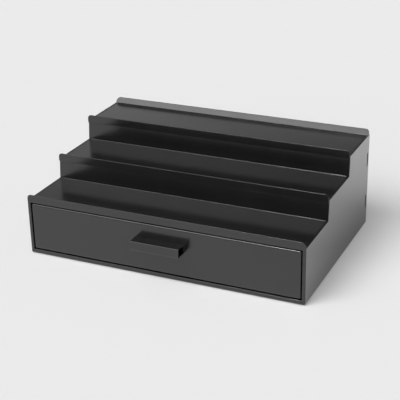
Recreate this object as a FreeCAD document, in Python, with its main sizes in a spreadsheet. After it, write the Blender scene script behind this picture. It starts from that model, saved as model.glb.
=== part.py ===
import FreeCAD, Part
import math
import os
import Sketcher

# A stepped sheet-steel organizer: three shelves with low lips over one full-width drawer.
# Millimetres. +X is the user's right facing the drawer's back, +Y points to the rear, +Z up.
# The origin is the centre of the footprint, pull included, on the surface it stands on.

DIMENSIONS = [
    ("width", 300.0, "carcass, side to side"),
    ("depth", 200.0, "carcass, front face to rear edge"),
    ("sheet", 1.0, "steel sheet, coating included"),
    ("bend_radius", 0.5, "inside of every fold"),
    ("shelf_height", 58.8, "lowest shelf above the carcass's lower edge"),
    ("step_rise", 21.5, "from one shelf to the next"),
    ("step_depth", 65.0, "from one upright face to the next"),
    ("riser_setback", 1.8, "top of an upright face behind its foot"),
    ("lip_height", 6.2, "lip above the shelf behind it"),
    ("lip_drop", 2.3, "lower edge of a lip below its shelf"),
    ("rear_lip_rise", 5.5, "rear lip above the top shelf"),
    ("rear_lip_run", 3.2, "top of the rear lip behind its foot"),
    ("corner_radius", 4.0, "upper corners of the frame and the lips"),
    ("lower_corner_radius", 1.5, "lower corners of the frame"),
    ("weld_flange", 8.0, "folded edges hidden under the shelves"),
    ("base_flange", 10.0, "folded edges of the bottom panel"),
    ("relief_gap", 0.2, "between two folds that meet at a corner"),
    ("frame_side", 3.3, "frame beside the drawer opening"),
    ("frame_bottom", 4.1, "frame under the drawer opening"),
    ("opening_radius", 0.6, "corners of the drawer opening"),
    ("drawer_gap", 1.1, "around the drawer front"),
    ("drawer_fold", 10.0, "folded edges of the drawer front"),
    ("rim_headroom", 10.0, "tray rim below the lowest shelf's underside"),
    ("tray_front_fold", 12.0, "low front wall of the tray"),
    ("travel", 140.0, "how far the drawer opens"),
    ("rest_gap", 0.3, "between a moving piece and its stop"),
    ("slide_gap", 0.2, "between the tray and its runners"),
    ("runner_width", 10.0, "ledge that carries the tray"),
    ("runner_height", 9.0, "upright leg of a runner"),
    ("runner_setback", 1.0, "runner clear of the pieces at its ends"),
    ("stop_inset", 49.0, "middle of a stop or bumper from the side panel"),
    ("stop_width", 20.0, "drawer stop, side to side"),
    ("stop_length", 10.0, "leg of a drawer stop under the shelf"),
    ("stop_clearance", 2.5, "drawer stop above the tray's rim"),
    ("tab_headroom", 3.5, "tab of the tray below the lowest shelf's underside"),
    ("tab_radius", 2.0, "corners of the tray's tabs"),
    ("slot_length", 14.0, "slots in the side panels"),
    ("slot_inset", 4.5, "middle of a slot from the rear edge"),
    ("lower_slot", 26.5, "middle of the lower slot above the carcass's lower edge"),
    ("upper_slot", 27.3, "middle of the upper slot below the top shelf"),
    ("slot_gap", 0.8, "around a tab in its slot"),
    ("tab_setback", 0.6, "end of a tab inside the side panel's outer face"),
    ("fit_gap", 0.3, "around a fold in its notch"),
    ("bumper_diameter", 8.0, "rubber dots behind the tray"),
    ("bumper_thickness", 1.5, "rubber dots behind the tray"),
    ("bumper_height", 28.0, "middle of a bumper above the carcass's lower edge"),
    ("foot_diameter", 12.0, "rubber feet"),
    ("foot_height", 1.2, "rubber feet"),
    ("foot_inset", 14.0, "middle of a foot from the edges"),
    ("dot_rounding", 0.4, "free rim of feet and bumpers"),
    ("pull_width", 52.0, "pull, side to side"),
    ("pull_projection", 13.5, "pull, in front of the drawer"),
    ("pull_height", 9.5, "pull, top to bottom"),
    ("pull_top", 41.0, "top of the pull above the carcass's lower edge"),
    ("pull_wall", 1.2, "wall of the pull's box section"),
    ("pull_rounding", 0.8, "long outer edges of the pull"),
    ("screw_inset", 10.0, "pull screw from the pull's end"),
    ("screw_diameter", 3.0, "shank of a pull screw"),
    ("screw_head", 5.6, "head of a pull screw, across"),
    ("screw_head_height", 1.9, "head of a pull screw, thickness"),
    ("screw_reach", 4.5, "shank of a pull screw"),
    ("screw_rounding", 0.7, "rim of a screw head"),
    ("recess_length", 3.0, "arms of the cross recess, tip to tip"),
    ("recess_width", 0.8, "arms of the cross recess, across"),
    ("recess_depth", 1.1, "depth of the cross recess"),
    ("thread_gap", 0.05, "around a shank in its threaded hole"),
    ("shank_gap", 0.2, "around a shank in its plain hole"),
]

doc = FreeCAD.newDocument("fragrance_organizer")
size = doc.addObject("Spreadsheet::Sheet", "size")
for row, (alias, millimetres, meaning) in enumerate(DIMENSIONS, start=1):
    size.set(f"A{row}", alias)
    size.set(f"B{row}", str(millimetres))
    size.setAlias(f"B{row}", alias)
    size.set(f"C{row}", meaning)
doc.recompute()

# Carcass planes
HALF = "(size.width / 2)"
INNER = "(size.width / 2 - size.sheet)"
FRONT = "((size.pull_projection - size.depth) / 2)"
REAR = f"({FRONT} + size.depth)"
BEHIND_FRAME = f"({FRONT} + size.sheet)"
LOWER_RISER = f"({FRONT} + size.step_depth)"
UPPER_RISER = f"({LOWER_RISER} + size.step_depth)"
RISER_RISE = "(size.step_rise - size.sheet)"
RISER_ACROSS = f"(size.sheet * sqrt(1 + (size.riser_setback / {RISER_RISE})^2))"
REAR_LIP_ACROSS = "(size.sheet * sqrt(1 + (size.rear_lip_run / size.rear_lip_rise)^2))"
REAR_LIP = f"({REAR} - {REAR_LIP_ACROSS} - size.rear_lip_run)"
BASE = "size.foot_height"
LOWER_SHELF = f"({BASE} + size.shelf_height)"
MIDDLE_SHELF = f"({LOWER_SHELF} + size.step_rise)"
TOP_SHELF = f"({MIDDLE_SHELF} + size.step_rise)"
CEILING = f"({LOWER_SHELF} - size.sheet)"
BACK_PANEL = f"({REAR} - size.slot_inset - size.sheet / 2)"
OUTER_BEND = "(size.bend_radius + size.sheet)"
RELIEF = f"({OUTER_BEND} + size.relief_gap)"
FLANGE_INNER = f"({INNER} - size.sheet)"

# Drawer planes
OPENING_HALF = f"({HALF} - size.frame_side)"
OPENING_BOTTOM = f"({BASE} + size.frame_bottom)"
OPENING_TOP = f"({LOWER_SHELF} - size.lip_drop)"
PANEL_HALF = f"({OPENING_HALF} - size.drawer_gap)"
PANEL_BOTTOM = f"({OPENING_BOTTOM} + size.drawer_gap)"
PANEL_HEIGHT = f"({OPENING_TOP} - size.drawer_gap - {PANEL_BOTTOM})"
TRAY_HALF = f"({PANEL_HALF} - size.sheet)"
TRAY_BOTTOM = f"({PANEL_BOTTOM} + size.sheet)"
TRAY_REAR = f"({BACK_PANEL} - size.bumper_thickness - size.rest_gap)"
TRAY_LENGTH = f"({TRAY_REAR} - {BEHIND_FRAME})"
TRAY_HEIGHT = f"({CEILING} - size.rim_headroom - {TRAY_BOTTOM})"
RUNNER_TOP = f"({TRAY_BOTTOM} - size.slide_gap)"
RUNNER_FRONT = f"({FRONT} + size.drawer_fold + size.runner_setback)"
STOP_REAR = f"({TRAY_REAR} - size.sheet - size.travel - size.rest_gap)"
STOP_OFFSET = f"({INNER} - size.stop_inset)"
STOP_DROP = "(size.rim_headroom - size.stop_clearance)"
TAB_TOP = f"({CEILING} - size.tab_headroom)"
PULL_BOTTOM = f"({BASE} + size.pull_top - size.pull_height)"
SCREW_OFFSET = "(size.pull_width / 2 - size.screw_inset)"
SCREW_HEIGHT = "(size.pull_height / 2)"
LOWER_SLOT = f"({BASE} + size.lower_slot)"
UPPER_SLOT = f"({TOP_SHELF} - size.upper_slot)"

AXES = {
    "X": FreeCAD.Vector(1, 0, 0),
    "Y": FreeCAD.Vector(0, 1, 0),
    "Z": FreeCAD.Vector(0, 0, 1),
}
SAME_PLACE = 0.01


def value(expression):
    """Number that an expression has now."""
    return float(size.evalExpression(expression))


def new_body(name, x="0", y="0", z="0"):
    """Empty body, set down at a place given by three expressions."""
    body = doc.addObject("PartDesign::Body", name)
    body.Label = name
    body.setExpression("Placement.Base.x", x)
    body.setExpression("Placement.Base.y", y)
    body.setExpression("Placement.Base.z", z)
    return body


def new_sketch(body, name, role, offset):
    """Sketch on one of the body's own origin planes, moved along the plane's normal."""
    plane = next(part for part in body.Origin.OriginFeatures if part.Role == role)
    sketch = body.newObject("Sketcher::SketchObject", name)
    sketch.AttachmentSupport = [(plane, "")]
    sketch.MapMode = "FlatFace"
    sketch.setExpression("AttachmentOffset.Base.z", offset)
    return sketch


def tie_point(sketch, geometry, point, u, v):
    """Fix one point of a sketch at two expressions."""
    for kind, place in (("DistanceX", u), ("DistanceY", v)):
        number = sketch.addConstraint(Sketcher.Constraint(kind, geometry, point, value(place)))
        sketch.setExpression(f"Constraints[{number}]", place)


def outline(body, name, role, loops, offset="0"):
    """Sketch of closed loops, every corner tied to the sheet."""
    sketch = new_sketch(body, name, role, offset)
    for loop in loops:
        first = sketch.GeometryCount
        corners = [FreeCAD.Vector(value(u), value(v), 0) for u, v in loop]
        for start, end in zip(corners, corners[1:] + corners[:1]):
            sketch.addGeometry(Part.LineSegment(start, end), False)
        for step in range(len(loop)):
            following = first + (step + 1) % len(loop)
            sketch.addConstraint(Sketcher.Constraint("Coincident", first + step, 2, following, 1))
        for step, (u, v) in enumerate(loop):
            tie_point(sketch, first + step, 1, u, v)
    return sketch


def circles(body, name, role, centres, diameter, offset="0"):
    """Sketch of equal circles, their centres and diameter tied to the sheet."""
    sketch = new_sketch(body, name, role, offset)
    for u, v in centres:
        centre = FreeCAD.Vector(value(u), value(v), 0)
        circle = Part.Circle(centre, AXES["Z"], value(diameter) / 2)
        geometry = sketch.addGeometry(circle, False)
        tie_point(sketch, geometry, 3, u, v)
        number = sketch.addConstraint(Sketcher.Constraint("Diameter", geometry, value(diameter)))
        sketch.setExpression(f"Constraints[{number}]", diameter)
    return sketch


def rectangle(u_low, u_high, v_low, v_high):
    """Corner points of a rectangle."""
    return [(u_low, v_low), (u_high, v_low), (u_high, v_high), (u_low, v_high)]


def pad(body, name, sketch, length, backwards=False, centred=False):
    """Solid grown from a sketch."""
    feature = body.newObject("PartDesign::Pad", name)
    feature.Profile = sketch
    feature.setExpression("Length", length)
    feature.Reversed = backwards
    feature.Midplane = centred
    doc.recompute()
    return feature


def pocket(body, name, sketch, length, backwards=False):
    """Cut through the body, which has to lose some volume."""
    before = body.Shape.Volume
    feature = body.newObject("PartDesign::Pocket", name)
    feature.Profile = sketch
    feature.setExpression("Length", length)
    feature.Reversed = backwards
    doc.recompute()
    if not feature.Shape.Volume < before:
        raise RuntimeError(f"{name} cuts nothing")
    return feature


def named_edges(feature, curve_type):
    """Name and edge of each of the feature's edges of one kind."""
    for number, edge in enumerate(feature.Shape.Edges, start=1):
        if not edge.Degenerated and edge.Curve.TypeId == curve_type:
            yield f"Edge{number}", edge


def straight_edges(feature, axis, places):
    """Names of the feature's straight edges along an axis, through any of the places.

    A place is two expressions, for the other two axes in X, Y, Z order.
    """
    direction = AXES[axis]
    others = [number for number in range(3) if not direction[number]]
    wanted = [[value(place) for place in pair] for pair in places]
    names = []
    for name, edge in named_edges(feature, "Part::GeomLine"):
        if abs(edge.Curve.Direction.dot(direction)) < 1 - SAME_PLACE:
            continue
        spot = [edge.CenterOfMass[other] for other in others]
        for place in wanted:
            if all(abs(a - b) < SAME_PLACE for a, b in zip(spot, place)):
                names.append(name)
    if not names:
        raise RuntimeError(f"{feature.Name} has no edge to round along {axis}")
    return names


def fillet(body, name, base, edges, radius):
    """Rounded edges."""
    feature = body.newObject("PartDesign::Fillet", name)
    feature.Base = (base, edges)
    feature.setExpression("Radius", radius)
    doc.recompute()
    return feature


def mirrored(loop):
    """The same loop on the other side of the middle plane."""
    return [(f"(-{u})", v) for u, v in loop]


def side_panel(name, x):
    """Stepped side behind the risers, with two slots that take the back panel's tabs."""
    body = new_body(name, x=x)
    stairs = [
        (BEHIND_FRAME, BASE),
        (REAR, BASE),
        (REAR, TOP_SHELF),
    ]
    for riser, above, below in (
        (UPPER_RISER, TOP_SHELF, MIDDLE_SHELF),
        (LOWER_RISER, MIDDLE_SHELF, LOWER_SHELF),
    ):
        riser_top = f"({above} - size.sheet)"
        stairs += [
            (f"({riser} + size.sheet)", above),
            (f"({riser} + size.sheet)", riser_top),
            (f"({riser} + size.riser_setback + {RISER_ACROSS})", riser_top),
            (f"({riser} + {RISER_ACROSS})", below),
        ]
    stairs.append((BEHIND_FRAME, LOWER_SHELF))
    slot_front = f"({BACK_PANEL} - size.slot_gap)"
    slot_rear = f"({BACK_PANEL} + size.sheet + size.slot_gap)"
    slots = []
    for middle in (LOWER_SLOT, UPPER_SLOT):
        slot_bottom = f"({middle} - size.slot_length / 2)"
        slot_top = f"({middle} + size.slot_length / 2)"
        slots.append(rectangle(slot_front, slot_rear, slot_bottom, slot_top))
    sketch = outline(body, f"{name}_outline", "YZ_Plane", [stairs] + slots)
    pad(body, f"{name}_plate", sketch, "size.sheet")
    return body


def front_frame():
    """Front plate around the drawer, whose top is the lip of the lowest shelf."""
    body = new_body("front_frame", y=FRONT)
    left = f"(-{HALF})"
    lip_top = f"({LOWER_SHELF} + size.lip_height)"
    plate = rectangle(left, HALF, BASE, lip_top)
    opening = rectangle(f"(-{OPENING_HALF})", OPENING_HALF, OPENING_BOTTOM, OPENING_TOP)
    sketch = outline(body, "frame_outline", "XZ_Plane", [plate, opening])
    flat = pad(body, "frame_plate", sketch, "size.sheet", backwards=True)
    corners = straight_edges(flat, "Y", [(left, lip_top), (HALF, lip_top)])
    rounded = fillet(body, "frame_upper_corners", flat, corners, "size.corner_radius")
    corners = straight_edges(rounded, "Y", [(left, BASE), (HALF, BASE)])
    rounded = fillet(body, "frame_lower_corners", rounded, corners, "size.lower_corner_radius")
    inner_corners = straight_edges(rounded, "Y", opening)
    fillet(body, "opening_corners", rounded, inner_corners, "size.opening_radius")
    return body


def upright(run, rise, across, low, high):
    """Cross-section of a sheet that leans back by the run over the rise, between two heights."""
    foot = f"({run} * {low} / {rise})"
    head = f"({run} * {high} / {rise})"
    return [(foot, low), (head, high), (f"({head} + {across})", high), (f"({foot} + {across})", low)]


def corner_outline(body, name, top):
    """Sketch of what is cut off both upper corners of a full-width sheet to round them."""
    sketch = new_sketch(body, name, "XZ_Plane", "0")
    inner = f"({HALF} - size.corner_radius)"
    low = f"({top} - size.corner_radius)"
    quarter_turn = math.pi / 2
    for side, start_angle, low_end, top_end in (("", 0, 1, 2), ("-", quarter_turn, 2, 1)):
        places = [(f"({side}{inner})", top), (f"({side}{HALF})", top), (f"({side}{HALF})", low)]
        first = sketch.GeometryCount
        corners = [FreeCAD.Vector(value(u), value(v), 0) for u, v in places]
        for start, end in zip(corners, corners[1:]):
            sketch.addGeometry(Part.LineSegment(start, end), False)
        centre = FreeCAD.Vector(corners[0].x, corners[2].y, 0)
        circle = Part.Circle(centre, AXES["Z"], value("size.corner_radius"))
        arc = sketch.addGeometry(Part.ArcOfCircle(circle, start_angle, start_angle + quarter_turn), False)
        sketch.addConstraint(Sketcher.Constraint("Coincident", first, 2, first + 1, 1))
        sketch.addConstraint(Sketcher.Constraint("Coincident", arc, low_end, first + 1, 2))
        sketch.addConstraint(Sketcher.Constraint("Coincident", arc, top_end, first, 1))
        tie_point(sketch, first, 1, *places[0])
        tie_point(sketch, first, 2, *places[1])
        tie_point(sketch, first + 1, 2, *places[2])
        number = sketch.addConstraint(Sketcher.Constraint("Radius", arc, value("size.corner_radius")))
        sketch.setExpression(f"Constraints[{number}]", "size.corner_radius")
    return sketch


def tier(name, shelf_top, front_edge, fold, lean, front_space, has_free_top=False):
    """Shelf, folded up at the rear and down at its welded ends.

    Its own origin is where the shelf's top meets the front of the sheet folded up. The lean is
    how far that sheet's top is behind its foot, its rise, and its thickness measured level.
    """
    run, rise, across = lean
    body = new_body(name, y=fold, z=shelf_top)
    shelf_depth = f"({fold} - {front_edge})"
    front = f"(-{shelf_depth})"
    lower_face = "(-size.sheet)"
    fold_rear = f"({across} - size.sheet * {run} / {rise})"
    profile = [
        (front, "0"),
        ("0", "0"),
        (run, rise),
        (f"({run} + {across})", rise),
        (fold_rear, lower_face),
        (front, lower_face),
    ]
    strip_inner = f"({INNER} - {RELIEF})"
    sketch = outline(body, f"{name}_profile", "YZ_Plane", [profile])
    folded = pad(body, f"{name}_sheet", sketch, f"2 * {strip_inner}", centred=True)
    edges = straight_edges(folded, "X", [("0", "0")])
    folded = fillet(body, f"{name}_inside_fold", folded, edges, "size.bend_radius")
    edges = straight_edges(folded, "X", [(fold_rear, lower_face)])
    fillet(body, f"{name}_outside_fold", folded, edges, OUTER_BEND)

    strip = [
        (strip_inner, "0"),
        (INNER, "0"),
        (INNER, "(-size.weld_flange)"),
        (FLANGE_INNER, "(-size.weld_flange)"),
        (FLANGE_INNER, lower_face),
        (strip_inner, lower_face),
    ]
    sketch = outline(body, f"{name}_ends", "XZ_Plane", [strip, mirrored(strip)], offset=RELIEF)
    flange_length = f"({shelf_depth} - {RELIEF} - {front_space})"
    ends = pad(body, f"{name}_end_flanges", sketch, flange_length)
    edges = straight_edges(ends, "Y", [(INNER, "0"), (f"(-{INNER})", "0")])
    ends = fillet(body, f"{name}_end_folds", ends, edges, OUTER_BEND)
    edges = straight_edges(ends, "Y", [(FLANGE_INNER, lower_face), (f"(-{FLANGE_INNER})", lower_face)])
    fillet(body, f"{name}_end_insides", ends, edges, "size.bend_radius")

    section = upright(run, rise, across, "size.bend_radius", rise)
    sketch = outline(body, f"{name}_upright_section", "YZ_Plane", [section])
    pad(body, f"{name}_upright", sketch, "size.width", centred=True)
    if has_free_top:
        sketch = corner_outline(body, f"{name}_corner_outline", rise)
        pocket(body, f"{name}_corners", sketch, f"({run} + {across})")
    for foot, offset, low, length in (
        ("left_foot", f"(-{HALF})", "0", "size.sheet"),
        ("left_inner_foot", f"(-{INNER})", lower_face, RELIEF),
        ("right_inner_foot", strip_inner, lower_face, RELIEF),
        ("right_foot", INNER, "0", "size.sheet"),
    ):
        section = upright(run, rise, across, low, "size.bend_radius")
        sketch = outline(body, f"{name}_{foot}_section", "YZ_Plane", [section], offset=offset)
        pad(body, f"{name}_{foot}", sketch, length)
    return body


def lip_strip(name, y, shelf_top):
    """Flat strip welded across a shelf's front edge, its upper corners rounded."""
    body = new_body(name, y=y, z=shelf_top)
    left = f"(-{HALF})"
    strip = rectangle(left, HALF, "(-size.lip_drop)", "size.lip_height")
    sketch = outline(body, f"{name}_outline", "XZ_Plane", [strip])
    flat = pad(body, f"{name}_plate", sketch, "size.sheet", backwards=True)
    corners = straight_edges(flat, "Y", [(left, "size.lip_height"), (HALF, "size.lip_height")])
    fillet(body, f"{name}_corners", flat, corners, "size.corner_radius")
    return body


def bottom_panel():
    """Base sheet between the sides, both side edges folded up."""
    body = new_body("bottom_panel", y=BEHIND_FRAME, z=BASE)
    right_half = [
        (INNER, "0"),
        (INNER, "size.base_flange"),
        (FLANGE_INNER, "size.base_flange"),
        (FLANGE_INNER, "size.sheet"),
    ]
    profile = right_half + mirrored(right_half)[::-1]
    sketch = outline(body, "bottom_profile", "XZ_Plane", [profile])
    folded = pad(body, "bottom_sheet", sketch, "(size.depth - size.sheet)", backwards=True)
    edges = straight_edges(folded, "Y", [(FLANGE_INNER, "size.sheet"), (f"(-{FLANGE_INNER})", "size.sheet")])
    folded = fillet(body, "bottom_inside_folds", folded, edges, "size.bend_radius")
    edges = straight_edges(folded, "Y", [(INNER, "0"), (f"(-{INNER})", "0")])
    fillet(body, "bottom_outside_folds", folded, edges, OUTER_BEND)
    return body


def back_panel():
    """Set-in back, its tabs in the side panels' slots and its lower corners notched for the folds."""
    body = new_body("back_panel", y=BACK_PANEL)
    notched = f"({FLANGE_INNER} - size.bend_radius - size.fit_gap)"
    lower_notch = f"({BASE} + size.base_flange + size.fit_gap)"
    right_half = [
        (notched, f"({BASE} + size.sheet)"),
        (notched, lower_notch),
        (INNER, lower_notch),
    ]
    tab_end = f"({HALF} - size.tab_setback)"
    for middle in (LOWER_SLOT, UPPER_SLOT):
        tab_bottom = f"({middle} - size.slot_length / 2 + size.slot_gap)"
        tab_top = f"({middle} + size.slot_length / 2 - size.slot_gap)"
        right_half += [
            (INNER, tab_bottom),
            (tab_end, tab_bottom),
            (tab_end, tab_top),
            (INNER, tab_top),
        ]
    right_half.append((INNER, f"({TOP_SHELF} - size.sheet)"))
    sketch = outline(body, "back_outline", "XZ_Plane", [right_half + mirrored(right_half)[::-1]])
    pad(body, "back_plate", sketch, "size.sheet", backwards=True)
    return body


def drawer_runner(name, mirror):
    """Folded strip that carries one edge of the tray above the frame's lower bar."""
    body = new_body(name, y=RUNNER_FRONT, z=RUNNER_TOP)
    leg_top = "(size.runner_height - size.sheet)"
    leg_inner = f"({FLANGE_INNER} - size.sheet)"
    ledge_inner = f"({FLANGE_INNER} - size.runner_width)"
    profile = [
        (FLANGE_INNER, "(-size.sheet)"),
        (FLANGE_INNER, leg_top),
        (leg_inner, leg_top),
        (leg_inner, "0"),
        (ledge_inner, "0"),
        (ledge_inner, "(-size.sheet)"),
    ]
    inside_fold = [(leg_inner, "0")]
    outside_fold = [(FLANGE_INNER, "(-size.sheet)")]
    if mirror:
        profile = mirrored(profile)
        inside_fold = mirrored(inside_fold)
        outside_fold = mirrored(outside_fold)
    sketch = outline(body, f"{name}_profile", "XZ_Plane", [profile])
    length = f"({BACK_PANEL} - size.runner_setback - {RUNNER_FRONT})"
    folded = pad(body, f"{name}_strip", sketch, length, backwards=True)
    edges = straight_edges(folded, "Y", inside_fold)
    folded = fillet(body, f"{name}_inside_fold", folded, edges, "size.bend_radius")
    edges = straight_edges(folded, "Y", outside_fold)
    fillet(body, f"{name}_outside_fold", folded, edges, OUTER_BEND)
    return body


def drawer_stop(name, x):
    """Bracket under the lowest shelf that the tray's tab meets at full opening."""
    body = new_body(name, x=x, y=STOP_REAR, z=CEILING)
    profile = [
        ("(-size.stop_length)", "0"),
        ("0", "0"),
        ("0", f"(-{STOP_DROP})"),
        ("(-size.sheet)", f"(-{STOP_DROP})"),
        ("(-size.sheet)", "(-size.sheet)"),
        ("(-size.stop_length)", "(-size.sheet)"),
    ]
    sketch = outline(body, f"{name}_profile", "YZ_Plane", [profile])
    folded = pad(body, f"{name}_strip", sketch, "size.stop_width", centred=True)
    edges = straight_edges(folded, "X", [("(-size.sheet)", "(-size.sheet)")])
    folded = fillet(body, f"{name}_inside_fold", folded, edges, "size.bend_radius")
    edges = straight_edges(folded, "X", [("0", "0")])
    fillet(body, f"{name}_outside_fold", folded, edges, OUTER_BEND)
    return body


def rubber_dot(name, x, y, z, diameter, thickness, turn):
    """Round pad with a softened free rim, turned about X so that its glued face is on its seat."""
    body = new_body(name, x=x, y=y, z=z)
    body.Placement.Rotation = FreeCAD.Rotation(AXES["X"], turn)
    sketch = circles(body, f"{name}_outline", "XY_Plane", [("0", "0")], diameter)
    disc = pad(body, f"{name}_disc", sketch, thickness)
    rims = named_edges(disc, "Part::GeomCircle")
    free_rim = [rim for rim, edge in rims if edge.CenterOfMass.z > SAME_PLACE]
    fillet(body, f"{name}_rim", disc, free_rim, "size.dot_rounding")
    return body


def drawer_tray():
    """Open pan with a low front wall and two tabs on its back wall."""
    body = new_body("drawer_tray", y=BEHIND_FRAME, z=TRAY_BOTTOM)
    left = f"(-{TRAY_HALF})"
    sketch = outline(body, "tray_outline", "XY_Plane", [rectangle(left, TRAY_HALF, "0", TRAY_LENGTH)])
    block = pad(body, "tray_block", sketch, TRAY_HEIGHT)
    edges = straight_edges(block, "Y", [(left, "0"), (TRAY_HALF, "0")])
    edges += straight_edges(block, "X", [("0", "0"), (TRAY_LENGTH, "0")])
    edges += straight_edges(block, "Z", [(left, TRAY_LENGTH), (TRAY_HALF, TRAY_LENGTH)])
    fillet(body, "tray_outside_folds", block, edges, OUTER_BEND)

    inner_half = f"({TRAY_HALF} - size.sheet)"
    inner_left = f"(-{inner_half})"
    inner_rear = f"({TRAY_LENGTH} - size.sheet)"
    hollow = rectangle(inner_left, inner_half, "size.sheet", inner_rear)
    sketch = outline(body, "tray_hollow_outline", "XY_Plane", [hollow], offset="size.sheet")
    pan = pocket(body, "tray_hollow", sketch, TRAY_HEIGHT, backwards=True)
    edges = straight_edges(pan, "Y", [(inner_left, "size.sheet"), (inner_half, "size.sheet")])
    edges += straight_edges(pan, "X", [("size.sheet", "size.sheet"), (inner_rear, "size.sheet")])
    edges += straight_edges(pan, "Z", [(inner_left, inner_rear), (inner_half, inner_rear)])
    fillet(body, "tray_inside_folds", pan, edges, "size.bend_radius")

    front_gap = rectangle(inner_left, inner_half, "size.tray_front_fold", TRAY_HEIGHT)
    sketch = outline(body, "tray_front_outline", "XZ_Plane", [front_gap])
    pocket(body, "tray_low_front", sketch, "size.sheet")

    tab_height = f"({TAB_TOP} - {TRAY_BOTTOM})"
    tab_inner = f"({STOP_OFFSET} - size.stop_width / 2)"
    tab_outer = f"({STOP_OFFSET} + size.stop_width / 2)"
    tab = rectangle(tab_inner, tab_outer, TRAY_HEIGHT, tab_height)
    rear_offset = f"(-{TRAY_LENGTH})"
    sketch = outline(body, "tray_tab_outline", "XZ_Plane", [tab, mirrored(tab)], offset=rear_offset)
    tabs = pad(body, "tray_tabs", sketch, "size.sheet")
    tops = [(tab_inner, tab_height), (tab_outer, tab_height)]
    edges = straight_edges(tabs, "Y", tops + mirrored(tops))
    fillet(body, "tray_tab_corners", tabs, edges, "size.tab_radius")
    return body


def screw_places():
    """Middles of the two pull screws, from the pull's lower edge."""
    return [(f"(-{SCREW_OFFSET})", SCREW_HEIGHT), (SCREW_OFFSET, SCREW_HEIGHT)]


def drawer_front():
    """Inset panel, all four edges folded back, with two holes for the pull's screws."""
    body = new_body("drawer_front", y=FRONT, z=PANEL_BOTTOM)
    left = f"(-{PANEL_HALF})"
    face = rectangle(left, PANEL_HALF, "0", PANEL_HEIGHT)
    sketch = outline(body, "panel_outline", "XZ_Plane", [face])
    block = pad(body, "panel_block", sketch, "size.drawer_fold", backwards=True)
    edges = straight_edges(block, "Y", face)
    edges += straight_edges(block, "X", [("0", "0"), ("0", PANEL_HEIGHT)])
    edges += straight_edges(block, "Z", [(left, "0"), (PANEL_HALF, "0")])
    fillet(body, "panel_folds", block, edges, OUTER_BEND)

    inner_top = f"({PANEL_HEIGHT} - size.sheet)"
    hollow = rectangle(f"(-{TRAY_HALF})", TRAY_HALF, "size.sheet", inner_top)
    sketch = outline(body, "panel_hollow_outline", "XZ_Plane", [hollow], offset="(-size.sheet)")
    pocket(body, "panel_hollow", sketch, "size.drawer_fold")

    raised = f"({PULL_BOTTOM} - {PANEL_BOTTOM})"
    centres = [(x, f"({z} + {raised})") for x, z in screw_places()]
    hole = "(size.screw_diameter + 2 * size.shank_gap)"
    sketch = circles(body, "panel_hole_outline", "XZ_Plane", centres, hole)
    pocket(body, "panel_screw_holes", sketch, "size.drawer_fold")
    return body


def drawer_pull():
    """Short box-section bar with open ends and two threaded holes in its back wall."""
    body = new_body("drawer_pull", y=FRONT, z=PULL_BOTTOM)
    front = "(-size.pull_projection)"
    outside = rectangle(front, "0", "0", "size.pull_height")
    inside = rectangle(
        "(size.pull_wall - size.pull_projection)",
        "(-size.pull_wall)",
        "size.pull_wall",
        "(size.pull_height - size.pull_wall)",
    )
    sketch = outline(body, "pull_outline", "YZ_Plane", [outside, inside])
    box = pad(body, "pull_box", sketch, "size.pull_width", centred=True)
    fillet(body, "pull_edges", box, straight_edges(box, "X", outside), "size.pull_rounding")
    hole = "(size.screw_diameter + 2 * size.thread_gap)"
    sketch = circles(body, "pull_hole_outline", "XZ_Plane", screw_places(), hole)
    pocket(body, "pull_screw_holes", sketch, "(2 * size.pull_wall)", backwards=True)
    return body


def pull_screw(name, x, z):
    """Pan-head screw, its head inside the drawer and its shank towards the front."""
    body = new_body(name, x=x, y=BEHIND_FRAME, z=f"({PULL_BOTTOM} + {z})")
    sketch = circles(body, f"{name}_head_outline", "XZ_Plane", [("0", "0")], "size.screw_head")
    head = pad(body, f"{name}_head", sketch, "size.screw_head_height", backwards=True)
    rims = named_edges(head, "Part::GeomCircle")
    free_rim = [rim for rim, edge in rims if edge.CenterOfMass.y > SAME_PLACE]
    fillet(body, f"{name}_rim", head, free_rim, "size.screw_rounding")
    sketch = circles(body, f"{name}_shank_outline", "XZ_Plane", [("0", "0")], "size.screw_diameter")
    pad(body, f"{name}_shank", sketch, "size.screw_reach")
    long_half = "(size.recess_length / 2)"
    short_half = "(size.recess_width / 2)"
    cross = [
        (long_half, short_half),
        (short_half, short_half),
        (short_half, long_half),
    ]
    upper = cross + mirrored(cross)[::-1]
    loop = upper + [(u, f"(-{v})") for u, v in upper[::-1]]
    offset = "(-size.screw_head_height)"
    sketch = outline(body, f"{name}_recess_outline", "XZ_Plane", [loop], offset=offset)
    pocket(body, f"{name}_recess", sketch, "size.recess_depth", backwards=True)
    return body


def pull_screws():
    """The pull's two screws as one group of separate solids."""
    places = screw_places()
    group = doc.addObject("Part::Compound", "pull_screws")
    group.Label = "pull_screws"
    group.Links = [
        pull_screw("left_pull_screw", *places[0]),
        pull_screw("right_pull_screw", *places[1]),
    ]
    return group


def feet():
    """Four rubber feet under the bottom panel's corners."""
    across = f"({HALF} - size.foot_inset)"
    front = f"({FRONT} + size.foot_inset)"
    rear = f"({REAR} - size.foot_inset)"
    places = [
        ("foot_front_left", f"(-{across})", front),
        ("foot_front_right", across, front),
        ("foot_rear_left", f"(-{across})", rear),
        ("foot_rear_right", across, rear),
    ]
    face_down = 180
    return [
        rubber_dot(name, x, y, BASE, "size.foot_diameter", "size.foot_height", face_down)
        for name, x, y in places
    ]


def closing_bumpers():
    """Two rubber dots on the back panel that the closed tray rests against."""
    face_front = 90
    height = f"({BASE} + size.bumper_height)"
    return [
        rubber_dot(name, x, BACK_PANEL, height, "size.bumper_diameter", "size.bumper_thickness", face_front)
        for name, x in (
            ("left_closing_bumper", f"(-{STOP_OFFSET})"),
            ("right_closing_bumper", STOP_OFFSET),
        )
    ]


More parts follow.
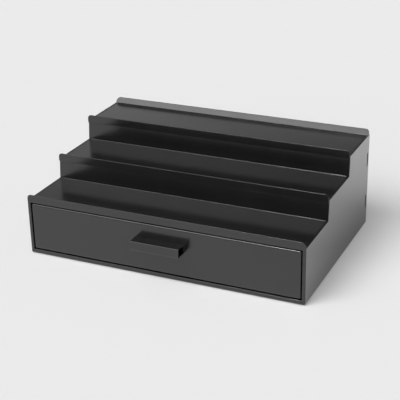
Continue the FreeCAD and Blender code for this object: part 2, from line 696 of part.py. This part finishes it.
riser_lean = ("size.riser_setback", RISER_RISE, RISER_ACROSS)
rear_lip_lean = ("size.rear_lip_run", "size.rear_lip_rise", REAR_LIP_ACROSS)
behind_lower_lip = f"({LOWER_RISER} + size.sheet)"
behind_upper_lip = f"({UPPER_RISER} + size.sheet)"
behind_riser = f"(size.riser_setback + {RISER_ACROSS} - size.sheet + size.relief_gap)"

subparts = [
    side_panel("left_side_panel", f"(-{HALF})"),
    side_panel("right_side_panel", INNER),
    front_frame(),
    tier("lower_tier", LOWER_SHELF, BEHIND_FRAME, LOWER_RISER, riser_lean, RELIEF),
    tier("middle_tier", MIDDLE_SHELF, behind_lower_lip, UPPER_RISER, riser_lean, behind_riser),
    tier("top_tier", TOP_SHELF, behind_upper_lip, REAR_LIP, rear_lip_lean, behind_riser, True),
    lip_strip("middle_lip", LOWER_RISER, MIDDLE_SHELF),
    lip_strip("top_lip", UPPER_RISER, TOP_SHELF),
    bottom_panel(),
    back_panel(),
    drawer_runner("left_runner", True),
    drawer_runner("right_runner", False),
    drawer_stop("left_drawer_stop", f"(-{STOP_OFFSET})"),
    drawer_stop("right_drawer_stop", STOP_OFFSET),
    drawer_tray(),
    drawer_front(),
    drawer_pull(),
    pull_screws(),
]
subparts += closing_bumpers()
subparts += feet()
doc.recompute()

for item in doc.Objects:
    if "Invalid" in item.State or "Error" in item.State:
        raise RuntimeError(f"{item.Label} was not rebuilt: {item.State}")
for part in subparts:
    if part.Shape.isNull() or not part.Shape.isValid():
        raise RuntimeError(f"{part.Label} has no valid shape")

os.makedirs("parts", exist_ok=True)
for part in subparts:
    part.Shape.exportStep(f"parts/{part.Label}.step")
    print(f"{part.Label}: {len(part.Shape.Solids)} solid, {part.Shape.Volume / 1000:.2f} cm3")
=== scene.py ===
import bpy
import math
from mathutils import Matrix, Vector

MILLIMETRE = 0.001

# Camera, at the photograph's angle
CAMERA_AZIMUTH = math.radians(24.76)
CAMERA_ELEVATION = math.radians(23.85)
CAMERA_ROLL = math.radians(-1.20)
CAMERA_DISTANCE = 1152.5 * MILLIMETRE
CAMERA_AIM = Vector((-2.9, 8.55, 42.4)) * MILLIMETRE
LENS = 98.47
SENSOR = 36.0

# Softboxes: name, strength, spread, azimuth and elevation in degrees, seen in gloss, lights matt
LAMPS = (
    ("key_softbox", 1.3, 38, -35, 48, True, True),
    ("strip_softbox", 2.0, 10, -25, 62, True, False),
    ("key_light", 1.1, 52, -16, 54, False, True),
    ("fill_light", 1.2, 70, -8, 38, False, True),
)

# Room and pale backdrop. The ranges are parts of a direction's length along each axis.
PALE = 0.839
ROOM_LIGHT = 0.16
ROOM_GLOSS = (0.050, 0.053, 0.058, 1)
BACKDROP_GLOSS = 0.46
BACKDROP_RIGHT = 0.6
BACKDROP_TOP = 0.25
BEHIND = (0.1, 0.6)
SIDEWAYS = (-0.46, -0.27)
UPWARDS = (0.34, 0.41)

# Floor, in metres where it is a place
FLOOR_HALF_WIDTH = 6.0
FLOOR_LIFT = 0.2
FLOOR_GLOSS_LIFT = 0.1
FLOOR_GLOSS = 0.98
# Painted shade: in reflections the floor is darkened to this tone beside and behind the object, fading
# out over the two ranges below.
FLOOR_GLOSS_PAINTED_SHADE = 0.6
PAINTED_SHADE_FADE_X = (0.15, 0.24)
PAINTED_SHADE_FADE_Y = (0.06, -0.08)

# Powder coat
COAT_DARK = (0.0054, 0.0054, 0.0058, 1)
COAT_LIGHT = (0.0084, 0.0084, 0.0088, 1)
COAT_ROUGHNESS = (0.18, 0.23)
COAT_IOR = 1.5
TOP_LAYER_IOR = 1.3
TOP_LAYER_ROUGHNESS = 0.2
PEEL_DEPTH = 0.02 * MILLIMETRE
GRAIN_DEPTH = 0.004 * MILLIMETRE
EDGE_WIDTH = 0.45 * MILLIMETRE
FOLDED_EDGE_WIDTH = 0.2 * MILLIMETRE
FLAT_PLATES = ("front_frame", "middle_lip", "top_lip")
FOLDED_TIERS = ("lower_tier", "middle_tier", "top_tier")
COAT_NODES = FLAT_PLATES + FOLDED_TIERS + (
    "left_side_panel", "right_side_panel", "bottom_panel", "back_panel", "left_runner",
    "right_runner", "left_drawer_stop", "right_drawer_stop", "drawer_tray", "drawer_front",
    "drawer_pull",
)

# Rubber and zinc plating
RUBBER_DARK = (0.010, 0.010, 0.010, 1)
RUBBER_LIGHT = (0.022, 0.021, 0.020, 1)
RUBBER_ROUGHNESS = (0.7, 0.85)
RUBBER_DEPTH = 0.03 * MILLIMETRE
ZINC_DULL = (0.50, 0.51, 0.53, 1)
ZINC_BRIGHT = (0.68, 0.68, 0.68, 1)
ZINC_ROUGHNESS = (0.22, 0.4)
ZINC_DEPTH = 0.01 * MILLIMETRE

# Where most of a noise's values lie, and a mix node's two inputs and output for each data type
NOISE_RANGE = (0.3, 0.7)
MIX_SOCKETS = {"FLOAT": (2, 3, 0), "RGBA": (6, 7, 2)}


def direction(azimuth, elevation):
    """Unit vector from the object, azimuth from the front towards the right."""
    return Vector((
        math.sin(azimuth) * math.cos(elevation),
        -math.cos(azimuth) * math.cos(elevation),
        math.sin(elevation),
    ))


def add_camera():
    """Camera with its place, aim and lens."""
    back = direction(CAMERA_AZIMUTH, CAMERA_ELEVATION)
    data = bpy.data.cameras.new("camera")
    data.lens = LENS
    data.sensor_width = SENSOR
    camera = bpy.data.objects.new("camera", data)
    bpy.context.scene.collection.objects.link(camera)
    turn = back.to_track_quat("Z", "Y").to_matrix().to_4x4() @ Matrix.Rotation(CAMERA_ROLL, 4, "Z")
    camera.matrix_world = Matrix.Translation(CAMERA_AIM + back * CAMERA_DISTANCE) @ turn
    bpy.context.scene.camera = camera


def add_lamp(name, strength, spread, azimuth, elevation, in_gloss, on_matt):
    """Wide, even lamp far away: a softbox as seen from a small object."""
    data = bpy.data.lights.new(name, "SUN")
    data.energy = strength
    data.angle = math.radians(spread)
    lamp = bpy.data.objects.new(name, data)
    bpy.context.scene.collection.objects.link(lamp)
    lamp.visible_glossy = in_gloss
    lamp.visible_diffuse = on_matt
    towards = direction(math.radians(azimuth), math.radians(elevation))
    lamp.rotation_euler = towards.to_track_quat("Z", "Y").to_euler()


def new_material(name):
    """Material with an empty node tree and its output."""
    material = bpy.data.materials.new(name)
    material.use_nodes = True
    tree = material.node_tree
    tree.nodes.clear()
    output = tree.nodes.new("ShaderNodeOutputMaterial")
    return material, tree, output


def calculate(tree, operation, first, second):
    """Math on two values, each a node's output or a number."""
    node = tree.nodes.new("ShaderNodeMath")
    node.operation = operation
    for socket, source in zip(node.inputs, (first, second)):
        set_input(tree, socket, source)
    return node.outputs[0]


def blend(tree, data_type, factor, first, second):
    """Mix of two numbers or colours, each a node's output or a value."""
    node = tree.nodes.new("ShaderNodeMix")
    node.data_type = data_type
    first_input, second_input, result = MIX_SOCKETS[data_type]
    set_input(tree, node.inputs[0], factor)
    set_input(tree, node.inputs[first_input], first)
    set_input(tree, node.inputs[second_input], second)
    return node.outputs[result]


def set_input(tree, socket, source):
    """Links a node's output to a socket, or sets the socket's own value."""
    if isinstance(source, bpy.types.NodeSocket):
        tree.links.new(source, socket)
    else:
        socket.default_value = source


def ramp(tree, value, given, wanted):
    """Value carried from one range over to another, without going past its ends."""
    node = tree.nodes.new("ShaderNodeMapRange")
    node.inputs["From Min"].default_value, node.inputs["From Max"].default_value = given
    node.inputs["To Min"].default_value, node.inputs["To Max"].default_value = wanted
    tree.links.new(value, node.inputs["Value"])
    return node.outputs["Result"]


def axes_of(tree, coordinates):
    """X, Y and Z of one kind of texture coordinates."""
    place = tree.nodes.new("ShaderNodeTexCoord").outputs[coordinates]
    axes = tree.nodes.new("ShaderNodeSeparateXYZ")
    tree.links.new(place, axes.inputs[0])
    return axes.outputs


def ray_kinds(tree):
    """One for rays from the camera, and one for rays from glossy or clear surfaces."""
    path = tree.nodes.new("ShaderNodeLightPath").outputs
    mirrored = calculate(tree, "MAXIMUM", path["Is Glossy Ray"], path["Is Transmission Ray"])
    return path["Is Camera Ray"], mirrored


def room_gloss(tree):
    """Light of the room by direction: dark in front, a pale backdrop behind that fades upwards."""
    axes = axes_of(tree, "Generated")
    behind = ramp(tree, axes["Y"], BEHIND, (0, 1))
    sideways = ramp(tree, axes["X"], SIDEWAYS, (1, BACKDROP_RIGHT))
    upwards = ramp(tree, axes["Z"], UPWARDS, (BACKDROP_GLOSS, BACKDROP_GLOSS * BACKDROP_TOP))
    backdrop = calculate(tree, "MULTIPLY", sideways, upwards)
    return blend(tree, "RGBA", behind, ROOM_GLOSS, backdrop)


def mix_shaders(tree, factor, first, second):
    """Mix of two shaders."""
    node = tree.nodes.new("ShaderNodeMixShader")
    for socket, source in zip(node.inputs, (factor, first, second)):
        tree.links.new(source, socket)
    return node.outputs[0]


def background(tree, colour):
    """Light from all around, its colour a value or a node's output."""
    node = tree.nodes.new("ShaderNodeBackground")
    set_input(tree, node.inputs["Color"], colour)
    return node.outputs[0]


def grey(level):
    """Colour without a hue."""
    return (level, level, level, 1)


def add_world():
    """Even room light, with the backdrop where the camera or a reflection sees it."""
    world = bpy.data.worlds.new("studio")
    world.use_nodes = True
    tree = world.node_tree
    tree.nodes.clear()
    output = tree.nodes.new("ShaderNodeOutputWorld")
    from_camera, mirrored = ray_kinds(tree)
    light = background(tree, grey(ROOM_LIGHT))
    light = mix_shaders(tree, mirrored, light, background(tree, room_gloss(tree)))
    light = mix_shaders(tree, from_camera, light, background(tree, grey(PALE)))
    tree.links.new(light, output.inputs["Surface"])
    bpy.context.scene.world = world


def floor_tone_with_painted_shade(tree, mirrored):
    """Tone of the floor, with painted shade: darker beside and behind the object, only where its gloss
    shows the floor.
    """
    axes = axes_of(tree, "Object")
    # Painted shade for the object's reflected shadow: the tone seen in reflections is lowered near the
    # object.
    painted_shade_by_x = ramp(tree, axes["X"], PAINTED_SHADE_FADE_X, (FLOOR_GLOSS_PAINTED_SHADE, FLOOR_GLOSS))
    painted_shade_by_y = ramp(tree, axes["Y"], PAINTED_SHADE_FADE_Y, (FLOOR_GLOSS_PAINTED_SHADE, FLOOR_GLOSS))
    in_gloss = calculate(tree, "MAXIMUM", painted_shade_by_x, painted_shade_by_y)
    return blend(tree, "FLOAT", mirrored, PALE, in_gloss)


def add_floor():
    """Pale floor, wide enough to be the whole background, with painted shade beside and behind the
    object in what reflections show of it.
    """
    mesh = bpy.data.meshes.new("floor")
    w = FLOOR_HALF_WIDTH
    mesh.from_pydata([(-w, -w, 0), (w, -w, 0), (w, w, 0), (-w, w, 0)], [], [(0, 1, 2, 3)])
    floor = bpy.data.objects.new("floor", mesh)
    bpy.context.scene.collection.objects.link(floor)
    material, tree, output = new_material("pale_floor_with_painted_shade")
    from_camera, mirrored = ray_kinds(tree)
    lit = tree.nodes.new("ShaderNodeBsdfDiffuse")
    tree.links.new(floor_tone_with_painted_shade(tree, mirrored), lit.inputs["Color"])
    plain = tree.nodes.new("ShaderNodeEmission")
    plain.inputs["Color"].default_value = grey(PALE)
    camera_lift = calculate(tree, "MULTIPLY", from_camera, FLOOR_LIFT)
    gloss_lift = calculate(tree, "MULTIPLY", mirrored, FLOOR_GLOSS_LIFT)
    lift = calculate(tree, "ADD", camera_lift, gloss_lift)
    tree.links.new(mix_shaders(tree, lift, lit.outputs[0], plain.outputs[0]), output.inputs["Surface"])
    mesh.materials.append(material)


def noise(tree, place, scale, detail):
    """Noise over the object, at a scale in features per metre."""
    node = tree.nodes.new("ShaderNodeTexNoise")
    node.inputs["Scale"].default_value = scale
    node.inputs["Detail"].default_value = detail
    tree.links.new(place, node.inputs["Vector"])
    return node.outputs["Fac"]


def bump(tree, height, depth, strength, normal=None):
    """Bump of a depth in metres, over another normal if there is one."""
    node = tree.nodes.new("ShaderNodeBump")
    node.inputs["Strength"].default_value = strength
    node.inputs["Distance"].default_value = depth
    tree.links.new(height, node.inputs["Height"])
    if normal:
        tree.links.new(normal, node.inputs["Normal"])
    return node.outputs["Normal"]


def surface(name, colours, tone_noise, roughness, roughness_noise):
    """Material whose tone and roughness drift, with a scale and a detail for each noise."""
    material, tree, output = new_material(name)
    shader = tree.nodes.new("ShaderNodeBsdfPrincipled")
    place = tree.nodes.new("ShaderNodeTexCoord").outputs["Object"]
    tone = ramp(tree, noise(tree, place, *tone_noise), NOISE_RANGE, (0, 1))
    tree.links.new(blend(tree, "RGBA", tone, *colours), shader.inputs["Base Color"])
    drift = ramp(tree, noise(tree, place, *roughness_noise), NOISE_RANGE, roughness)
    tree.links.new(drift, shader.inputs["Roughness"])
    tree.links.new(shader.outputs[0], output.inputs["Surface"])
    return material, tree, shader, place


def powder_coat():
    """Satin powder coat with orange peel and slight changes of tone and gloss."""
    colours = (COAT_DARK, COAT_LIGHT)
    material, tree, shader, place = surface("powder_coat", colours, (14, 4), COAT_ROUGHNESS, (45, 3))
    peel = bump(tree, noise(tree, place, 650, 2), PEEL_DEPTH, 0.35)
    grain = bump(tree, noise(tree, place, 3200, 1), GRAIN_DEPTH, 0.5, peel)
    tree.links.new(grain, shader.inputs["Normal"])
    shader.inputs["IOR"].default_value = COAT_IOR
    shader.inputs["Coat Weight"].default_value = 1.0
    shader.inputs["Coat IOR"].default_value = TOP_LAYER_IOR
    shader.inputs["Coat Roughness"].default_value = TOP_LAYER_ROUGHNESS
    return material


def rubber():
    """Matt black rubber with fine moulding grain."""
    colours = (RUBBER_DARK, RUBBER_LIGHT)
    material, tree, shader, place = surface("rubber", colours, (120, 3), RUBBER_ROUGHNESS, (400, 2))
    grain = bump(tree, noise(tree, place, 2500, 3), RUBBER_DEPTH, 0.4)
    tree.links.new(grain, shader.inputs["Normal"])
    return material


def zinc():
    """Bright zinc plating with dulled patches and a fine grain."""
    colours = (ZINC_DULL, ZINC_BRIGHT)
    material, tree, shader, place = surface("zinc_plate", colours, (300, 3), ZINC_ROUGHNESS, (900, 2))
    grain = bump(tree, noise(tree, place, 4000, 2), ZINC_DEPTH, 0.4)
    tree.links.new(grain, shader.inputs["Normal"])
    shader.inputs["Metallic"].default_value = 1.0
    return material


def soften_edges(piece, width, keeps_width):
    """Rounds the sheet edges as the coat does, at the full width even beside short edges."""
    weld = piece.modifiers.new("weld", "WELD")
    weld.merge_threshold = 0.001 * MILLIMETRE
    flat = piece.modifiers.new("flat_faces", "DECIMATE")
    flat.decimate_type = "DISSOLVE"
    flat.angle_limit = math.radians(0.5)
    edge = piece.modifiers.new("coated_edge", "BEVEL")
    edge.width = width
    edge.segments = 3
    edge.limit_method = "ANGLE"
    edge.use_clamp_overlap = not keeps_width
    edge.angle_limit = math.radians(40)
    smooth = piece.modifiers.new("even_shading", "WEIGHTED_NORMAL")
    smooth.keep_sharp = False
    smooth.weight = 80


def finish_node(piece, material):
    """Gives every material slot of a solid the same finish."""
    for place in piece.material_slots:
        place.material = material


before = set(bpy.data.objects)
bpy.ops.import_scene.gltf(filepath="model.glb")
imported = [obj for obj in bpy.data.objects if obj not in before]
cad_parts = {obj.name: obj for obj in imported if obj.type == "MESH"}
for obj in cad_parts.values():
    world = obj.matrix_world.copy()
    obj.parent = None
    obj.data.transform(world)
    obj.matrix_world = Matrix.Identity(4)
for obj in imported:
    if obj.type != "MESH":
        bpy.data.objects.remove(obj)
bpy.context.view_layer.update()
bpy.context.scene.view_settings.view_transform = "Standard"
add_camera()
add_world()
add_floor()
for lamp in LAMPS:
    add_lamp(*lamp)

coat = powder_coat()
soft_rubber = rubber()
plating = zinc()
for name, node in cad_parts.items():
    if name in COAT_NODES:
        finish_node(node, coat)
        width = FOLDED_EDGE_WIDTH if name in FOLDED_TIERS else EDGE_WIDTH
        soften_edges(node, width, name in FLAT_PLATES)
    elif name == "pull_screws":
        finish_node(node, plating)
    else:
        finish_node(node, soft_rubber)
